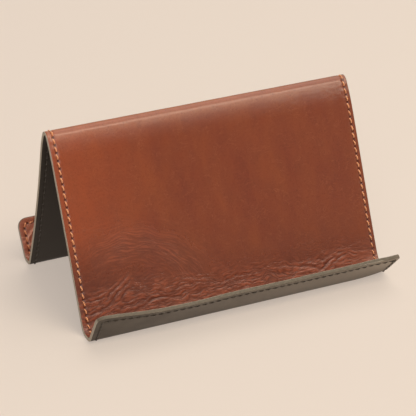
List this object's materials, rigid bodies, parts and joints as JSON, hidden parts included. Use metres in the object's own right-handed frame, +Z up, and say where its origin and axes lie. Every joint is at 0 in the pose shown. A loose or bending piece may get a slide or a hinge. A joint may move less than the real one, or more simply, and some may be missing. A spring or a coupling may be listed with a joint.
{
  "type": "business card stand",
  "caption": "Desk stand for business cards: one lined leather sheet folded over a steel core, with a ridge between two upturned gutters.",
  "frame": {"origin": "centre of the outline on the desk plane, half way between the two lips' outer edges", "axes": "+Z up; +X along the ridge; -Y is the front, where the cards are shown"},
  "size_m": [0.1016, 0.0724, 0.0561],
  "materials": {
    "outer_leather": "cognac full-grain leather, polished",
    "lining": "smooth taupe-grey lining leather",
    "core_steel": "thin cold-rolled sheet, hidden",
    "needle_thread": "waxed orange sewing thread",
    "bobbin_thread": "dark grey sewing thread",
    "edge_paint": "grey leather edge paint"
  },
  "bodies": {
    "root": {"outer_leather": "outer_leather", "lining": "lining", "core_plate": "core_steel", "needle_thread": "needle_thread", "bobbin_thread": "bobbin_thread", "edge_paint": "edge_paint"}
  },
  "joints": []
}
